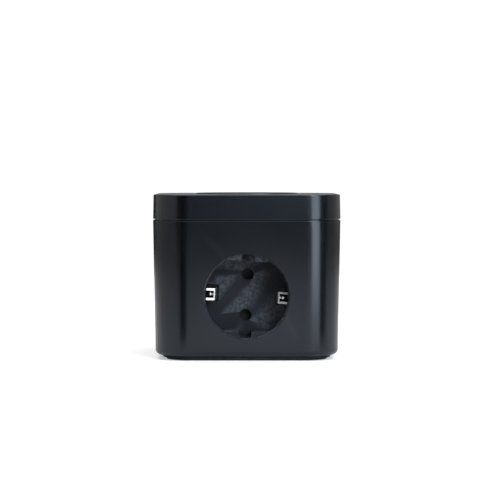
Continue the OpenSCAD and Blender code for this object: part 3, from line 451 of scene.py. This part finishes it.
def new_shape_tree(name, inputs):
    """A geometry tree with named inputs and one output. Returns its tree, its start and its end."""
    tree = bpy.data.node_groups.new(name, "GeometryNodeTree")
    tree.is_modifier = True
    for socket_name, kind in inputs:
        tree.interface.new_socket(socket_name, in_out="INPUT", socket_type=kind)
    tree.interface.new_socket("Shape", in_out="OUTPUT", socket_type=GEOMETRY)
    return tree, tree.nodes.new("NodeGroupInput"), tree.nodes.new("NodeGroupOutput")


def shape_node(tree, kind, settings=None, **inputs):
    """Adds a geometry node, sets its settings and fills in its named inputs."""
    node = tree.nodes.new(kind)
    for setting, value in (settings or {}).items():
        setattr(node, setting, value)
    for name, value in inputs.items():
        fill(tree, node, name.replace("_", " "), value)
    return node


def place_parts(tree):
    """The x, y and z of each point of the shape so far."""
    split = tree.nodes.new("ShaderNodeSeparateXYZ")
    fill(tree, split, "Vector", tree.nodes.new("GeometryNodeInputPosition").outputs[0])
    return split.outputs["X"], split.outputs["Y"], split.outputs["Z"]


def widen(tree, shape, factor, drop):
    """Scales a shape about its axis by a factor that may change from point to point, and lowers it."""
    x, y, z = place_parts(tree)
    spot = shape_node(tree, "ShaderNodeCombineXYZ", X=maths(tree, "MULTIPLY", x, factor),
                      Y=maths(tree, "MULTIPLY", y, factor), Z=maths(tree, "SUBTRACT", z, drop))
    moved = shape_node(tree, "GeometryNodeSetPosition", Geometry=shape, Position=spot.outputs[0])
    return moved.outputs["Geometry"]


HEAD_SIDES = 32
SHANK_SIDES = 20
SHANK_RINGS = 72
CROWN_POWER = 5.0
CROWN_DROP = 0.16
CROSS_REACH = 1.15
CROSS_WIDTH = 0.3
CROSS_DEPTH = 1.1
HEAD_BITE = 0.7


def build_screw_tree():
    """Cross-recessed, threaded screws on a set of points, with the tops of their heads at the points."""
    tree, start, end = new_shape_tree("threaded_screws", [
        ("Places", GEOMETRY), ("Head Radius", FLOAT), ("Head Height", FLOAT), ("Shank Radius", FLOAT),
        ("Length", FLOAT), ("Pitch", FLOAT), ("Thread Depth", FLOAT), ("Turn", VECTOR),
        ("Finish", MATERIAL)])
    given = start.outputs
    head = shape_node(tree, "GeometryNodeMeshCylinder", Vertices=HEAD_SIDES, Side_Segments=5,
                      Radius=given["Head Radius"], Depth=given["Head Height"])
    height = place_parts(tree)[2]
    rise = maths(tree, "ADD", maths(tree, "DIVIDE", height, given["Head Height"]), 0.5)
    curve = maths(tree, "POWER", rise, CROWN_POWER)
    crown = maths(tree, "MULTIPLY_ADD", curve, -CROWN_DROP, 1.0)
    half_head = maths(tree, "MULTIPLY", given["Head Height"], 0.5)
    domed = widen(tree, head.outputs["Mesh"], crown, half_head)
    arm = maths(tree, "MULTIPLY", given["Head Radius"], CROSS_REACH)
    width = maths(tree, "MULTIPLY", given["Head Radius"], CROSS_WIDTH)
    depth = maths(tree, "MULTIPLY", given["Head Height"], CROSS_DEPTH)
    recess = tree.nodes.new("GeometryNodeMeshBoolean")
    recess.operation = "DIFFERENCE"
    fill(tree, recess, "Mesh 1", domed)
    for long_side, short_side in ((arm, width), (width, arm)):
        size = shape_node(tree, "ShaderNodeCombineXYZ", X=long_side, Y=short_side, Z=depth)
        bar = shape_node(tree, "GeometryNodeMeshCube", Size=size.outputs[0])
        tree.links.new(bar.outputs["Mesh"], recess.inputs["Mesh 2"])
    in_head = maths(tree, "MULTIPLY", given["Head Height"], HEAD_BITE)
    grip = maths(tree, "SUBTRACT", given["Length"], in_head)
    shank = shape_node(tree, "GeometryNodeMeshCylinder", Vertices=SHANK_SIDES, Side_Segments=SHANK_RINGS,
                       Radius=given["Shank Radius"], Depth=grip)
    x, y, z = place_parts(tree)
    around = maths(tree, "DIVIDE", maths(tree, "ARCTAN2", y, x), 2 * pi)
    climb = maths(tree, "ADD", around, maths(tree, "DIVIDE", z, given["Pitch"]))
    ridge = maths(tree, "PINGPONG", climb, 0.5)
    share = maths(tree, "DIVIDE", given["Thread Depth"], given["Shank Radius"])
    bite = maths(tree, "MULTIPLY", share, 2.0)
    groove = maths(tree, "SUBTRACT", 1.0, maths(tree, "MULTIPLY", ridge, bite))
    half_grip = maths(tree, "MULTIPLY", grip, 0.5)
    sink = maths(tree, "SUBTRACT", given["Length"], half_grip)
    threaded = widen(tree, shank.outputs["Mesh"], groove, sink)
    whole = tree.nodes.new("GeometryNodeJoinGeometry")
    tree.links.new(recess.outputs["Mesh"], whole.inputs["Geometry"])
    tree.links.new(threaded, whole.inputs["Geometry"])
    turn = shape_node(tree, "FunctionNodeEulerToRotation", Euler=given["Turn"])
    spots = shape_node(tree, "GeometryNodeMeshToPoints", Mesh=given["Places"])
    copies = shape_node(tree, "GeometryNodeInstanceOnPoints", Points=spots.outputs["Points"],
                        Instance=whole.outputs["Geometry"], Rotation=turn.outputs[0])
    real = shape_node(tree, "GeometryNodeRealizeInstances", Geometry=copies.outputs["Instances"])
    dressed = shape_node(tree, "GeometryNodeSetMaterial", Geometry=real.outputs["Geometry"],
                         Material=given["Finish"])
    tree.links.new(dressed.outputs["Geometry"], end.inputs["Shape"])
    return tree


def build_spiral_tree():
    """A flat spiral of round wire."""
    tree, start, end = new_shape_tree("spiral_spring", [
        ("Places", GEOMETRY), ("Inner Radius", FLOAT), ("Outer Radius", FLOAT), ("Turns", FLOAT),
        ("Wire Radius", FLOAT), ("Middle", VECTOR), ("Turn", VECTOR), ("Finish", MATERIAL)])
    given = start.outputs
    line = shape_node(tree, "GeometryNodeCurveSpiral", Resolution=48, Rotations=given["Turns"],
                      Start_Radius=given["Inner Radius"], End_Radius=given["Outer Radius"], Height=0.0)
    wire = shape_node(tree, "GeometryNodeCurvePrimitiveCircle", Resolution=10, Radius=given["Wire Radius"])
    drawn = tree.nodes.new("GeometryNodeCurveToMesh")
    tree.links.new(line.outputs["Curve"], drawn.inputs["Curve"])
    tree.links.new(wire.outputs["Curve"], drawn.inputs["Profile Curve"])
    drawn.inputs["Fill Caps"].default_value = True
    turn = shape_node(tree, "FunctionNodeEulerToRotation", Euler=given["Turn"])
    seated = tree.nodes.new("GeometryNodeTransform")
    tree.links.new(drawn.outputs["Mesh"], seated.inputs["Geometry"])
    tree.links.new(given["Middle"], seated.inputs["Translation"])
    tree.links.new(turn.outputs[0], seated.inputs["Rotation"])
    real = shape_node(tree, "GeometryNodeRealizeInstances", Geometry=seated.outputs["Geometry"])
    dressed = shape_node(tree, "GeometryNodeSetMaterial", Geometry=real.outputs["Geometry"],
                         Material=given["Finish"])
    tree.links.new(dressed.outputs["Geometry"], end.inputs["Shape"])
    return tree


def grow(tree, piece_name, points, **sizes):
    """Runs a geometry tree on a few points, and keeps the result as a plain mesh."""
    mesh = bpy.data.meshes.new(piece_name)
    mesh.from_pydata(points, [], [])
    piece = bpy.data.objects.new(piece_name, mesh)
    bpy.context.scene.collection.objects.link(piece)
    grower = piece.modifiers.new("grow", "NODES")
    grower.node_group = tree
    for item in tree.interface.items_tree:
        key = item.name.replace(" ", "_")
        if item.in_out == "INPUT" and key in sizes:
            grower[item.identifier] = sizes[key]
    settle(piece)
    work = bmesh.new()
    work.from_mesh(piece.data)
    bmesh.ops.remove_doubles(work, verts=work.verts, dist=SAME_POINT)
    bmesh.ops.dissolve_degenerate(work, edges=work.edges, dist=SAME_POINT)
    for face in work.faces:
        face.smooth = True
    work.to_mesh(piece.data)
    work.free()
    piece.data.set_sharp_from_angle(angle=SHARP)
    return piece


def islands(node_name):
    """The separate solids of a CAD node, each as a list of its points."""
    work = bmesh.new()
    work.from_mesh(nodes[node_name].data)
    bmesh.ops.remove_doubles(work, verts=work.verts, dist=SAME_POINT)
    left = set(work.verts)
    found = []
    while left:
        waiting = [left.pop()]
        points = []
        while waiting:
            point = waiting.pop()
            points.append(point.co.copy())
            for edge in point.link_edges:
                other = edge.other_vert(point)
                if other in left:
                    left.remove(other)
                    waiting.append(other)
        found.append(points)
    work.free()
    return found


SCREWS = build_screw_tree()
SPIRAL = build_spiral_tree()
END_BAND = 0.05 * MM
THREAD_SHARE = 0.28

# How screws turn to point their heads the right way: by the axis they lie on, and whether the head is high.
TURNS = {
    (2, True): (0, 0, 0),
    (2, False): (pi, 0, 0),
    (1, True): (-pi / 2, 0, 0),
    (1, False): (pi / 2, 0, 0),
}


def radius_at(points, middle, axis, end):
    """The radius of one screw where its points lie at one end of its axis."""
    across = [i for i in range(3) if i != axis]
    at_end = [point for point in points if abs(point[axis] - end) < END_BAND]
    return max(Vector([point[i] - middle[i] for i in across]).length for point in at_end)


def finish_screws(node_name, piece_name, axis, head_height, pitch):
    """Replaces a CAD node's plain screws by threaded ones of the same head, shank and length."""
    side = 0 if axis else 1
    tops = []
    for points in islands(node_name):
        low = [min(point[i] for point in points) for i in range(3)]
        high = [max(point[i] for point in points) for i in range(3)]
        middle = [(low[i] + high[i]) / 2 for i in range(3)]
        high_radius = radius_at(points, middle, axis, high[axis])
        low_radius = radius_at(points, middle, axis, low[axis])
        head_is_high = high_radius > low_radius
        middle[axis] = high[axis] if head_is_high else low[axis]
        tops.append(middle)
    piece = grow(SCREWS, piece_name, tops, Head_Radius=(high[side] - low[side]) / 2,
                 Head_Height=head_height, Shank_Radius=min(high_radius, low_radius),
                 Length=high[axis] - low[axis], Pitch=pitch, Thread_Depth=pitch * THREAD_SHARE,
                 Turn=TURNS[(axis, head_is_high)], Finish=finishes[slot_of[node_name]])
    return hand_over(piece, node_name)


finish_screws("housing_screws", "long_case_screws", 2, 2.0 * MM, 1.1 * MM)
finish_screws("socket_screws", "outlet_screws", 1, 1.4 * MM, 0.8 * MM)
finish_screws("carrier_screws", "carrier_fixings", 1, 1.4 * MM, 0.8 * MM)
finish_screws("ui_board_screws", "button_board_screws", 2, 1.4 * MM, 0.8 * MM)
finish_screws("terminal_screws", "terminal_clamping_screws", 2, 2.4 * MM, 0.6 * MM)
finish_screws("clamp_screws", "cord_clamp_screws", 2, 1.4 * MM, 0.8 * MM)

coil_low, coil_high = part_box("shutter_spring")
shutter_coil = grow(SPIRAL, "shutter_coil", [(0, 0, 0)], Inner_Radius=2.7 * MM, Outer_Radius=4.3 * MM,
                    Turns=2.0, Wire_Radius=0.22 * MM,
                    Middle=(0.0, (coil_low[1] + coil_high[1]) / 2, OUTLET_Z),
                    Turn=(pi / 2, OUTLET_TURN, 0.0), Finish=finishes["spring_steel"])
hand_over(shutter_coil, "shutter_spring")


# ---- Studio: pale floor, white surround and soft boxes ----

FLOOR_REACH = 0.57
FLOOR_MIDDLE_Y = 0.12
FLOOR_Z = -0.1 * MM
FLOOR_SIDES = 96


def white_floor():
    """A pale table top under the object."""
    mesh = bpy.data.meshes.new("studio_floor")
    turns = [2 * pi * i / FLOOR_SIDES for i in range(FLOOR_SIDES)]
    rim = [(FLOOR_REACH * cos(turn), FLOOR_MIDDLE_Y + FLOOR_REACH * sin(turn), FLOOR_Z) for turn in turns]
    mesh.from_pydata(rim, [], [tuple(range(FLOOR_SIDES))])
    floor = bpy.data.objects.new("studio_floor", mesh)
    bpy.context.scene.collection.objects.link(floor)
    material, tree, shader, place = start_material("pale_floor")
    tone = remap(tree, noise(tree, place, 6.0, 3.0), 0.3, 0.7, 0.0, 1.0)
    tree.links.new(blend_colours(tree, tone, rgb(0.68, 0.68, 0.68), rgb(0.72, 0.72, 0.72)),
                   shader.inputs["Base Color"])
    seen = tree.nodes.new("ShaderNodeLightPath").outputs["Is Camera Ray"]
    tree.links.new(remap(tree, seen, 0.0, 1.0, 0.0, 0.42), shader.inputs["Emission Strength"])
    shader.inputs["Emission Color"].default_value = rgb(1, 1, 1)
    shader.inputs["Roughness"].default_value = 0.9
    shader.inputs["Specular IOR Level"].default_value = 0.1
    mesh.materials.append(material)
    return floor


def soft_box(name, place, aim, size, strength, colour=(1, 1, 1)):
    """A rectangular soft box, given by the brightness of its face rather than by its power."""
    light = bpy.data.lights.new(name, "AREA")
    light.shape = "RECTANGLE"
    light.size = size[0]
    light.size_y = size[1]
    light.energy = strength * pi * size[0] * size[1]
    light.color = colour
    box = bpy.data.objects.new(name, light)
    box.location = place
    box.rotation_euler = (Vector(aim) - Vector(place)).to_track_quat("-Z", "Y").to_euler()
    bpy.context.scene.collection.objects.link(box)
    return box


def dark_card(name, place, aim, size):
    """A black card that only reflections see: it keeps a dark band beside the bright ones."""
    mesh = bpy.data.meshes.new(name)
    half_w = size[0] / 2
    half_h = size[1] / 2
    corners = [(-half_w, -half_h, 0), (half_w, -half_h, 0), (half_w, half_h, 0), (-half_w, half_h, 0)]
    mesh.from_pydata(corners, [], [(0, 1, 2, 3)])
    card = bpy.data.objects.new(name, mesh)
    card.location = place
    card.rotation_euler = (Vector(aim) - Vector(place)).to_track_quat("-Z", "Y").to_euler()
    bpy.context.scene.collection.objects.link(card)
    material, tree, shader, spot = start_material(name)
    tone = remap(tree, noise(tree, spot, 40.0, 2.0), 0.3, 0.7, 0.0, 1.0)
    tree.links.new(blend_colours(tree, tone, rgb(0.002, 0.002, 0.002), rgb(0.004, 0.004, 0.004)),
                   shader.inputs["Base Color"])
    shader.inputs["Specular IOR Level"].default_value = 0.0
    mesh.materials.append(material)
    card.visible_camera = False
    card.visible_diffuse = False
    card.visible_shadow = False
    return card


def round_from_front(angle, reach, height):
    """A place round the object: the angle is counted from the front towards its right side."""
    return (reach * sin(radians(angle)), -reach * cos(radians(angle)), height)


MIDDLE = (0.0, 0.0, 0.04)
COOL = (0.80, 0.95, 1.12)
MILD = (0.89, 0.97, 1.06)
WARM = (1.0, 0.98, 0.96)

white_floor()
soft_box("overhead_box", (0.0, 0.0, 1.3), MIDDLE, (1.7, 1.7), 3.0)
soft_box("front_box", round_from_front(12, 1.4, 0.42), round_from_front(12, 0.1, 0.42),
         (0.66, 0.66), 1.1, COOL)
soft_box("key_box", round_from_front(26, 1.1, 0.6), (0.0, -0.04, 0.03), (0.36, 0.5), 14.0, COOL)
soft_box("right_front_box", (0.21, -0.279, 0.2), (0.035, -0.035, 0.2), (0.13, 0.4), 4.7, MILD)
soft_box("right_back_box", round_from_front(112, 1.2, 0.5), round_from_front(112, 0.1, 0.5),
         (1.7, 0.98), 0.52, WARM)
soft_box("left_box", round_from_front(-84, 1.2, 0.5), round_from_front(-84, 0.1, 0.5),
         (2.5, 0.98), 0.72, WARM)
soft_box("back_box", round_from_front(180, 1.5, 0.5), round_from_front(180, 0.1, 0.5),
         (1.6, 0.98), 0.3)

dark_card("left_dark_card", (-0.147, -0.313, 0.155), (-0.035, -0.035, 0.155), (0.15, 0.31))
dark_card("low_left_card", (-0.053, -0.108, 0.026), (-0.0295, -0.0432, 0.026), (0.029, 0.052))
dark_card("low_right_card", (0.0975, -0.0725, 0.026), (0.0355, -0.041, 0.026), (0.027, 0.052))

surround = bpy.data.worlds.new("studio_surround")
surround.use_nodes = True
air = surround.node_tree
background = air.nodes["Background"]
seen = air.nodes.new("ShaderNodeLightPath").outputs["Is Camera Ray"]
air.links.new(remap(air, seen, 0.0, 1.0, 0.03, 1.05), background.inputs["Strength"])
background.inputs["Color"].default_value = (1, 1, 1, 1)
bpy.context.scene.world = surround
bpy.context.scene.view_settings.view_transform = "Standard"

# The camera looks level. Its lens and sensor are in millimetres, and its shifts are shares of the width.
EYE_REACH = 890 * MM
EYE_HEIGHT = 87 * MM
SENSOR_WIDTH = 36.0
LENS = 140.688
SHIFT_UP = -0.1586
SHIFT_SIDE = 0.0066

eye = bpy.data.cameras.new("studio_camera")
eye.sensor_width = SENSOR_WIDTH
eye.lens = LENS
eye.shift_y = SHIFT_UP
eye.shift_x = SHIFT_SIDE
camera = bpy.data.objects.new("studio_camera", eye)
camera.location = (0.0, CASE_FACE_Y - EYE_REACH, EYE_HEIGHT)
camera.rotation_euler = (radians(90), 0.0, 0.0)
bpy.context.scene.collection.objects.link(camera)
bpy.context.scene.camera = camera
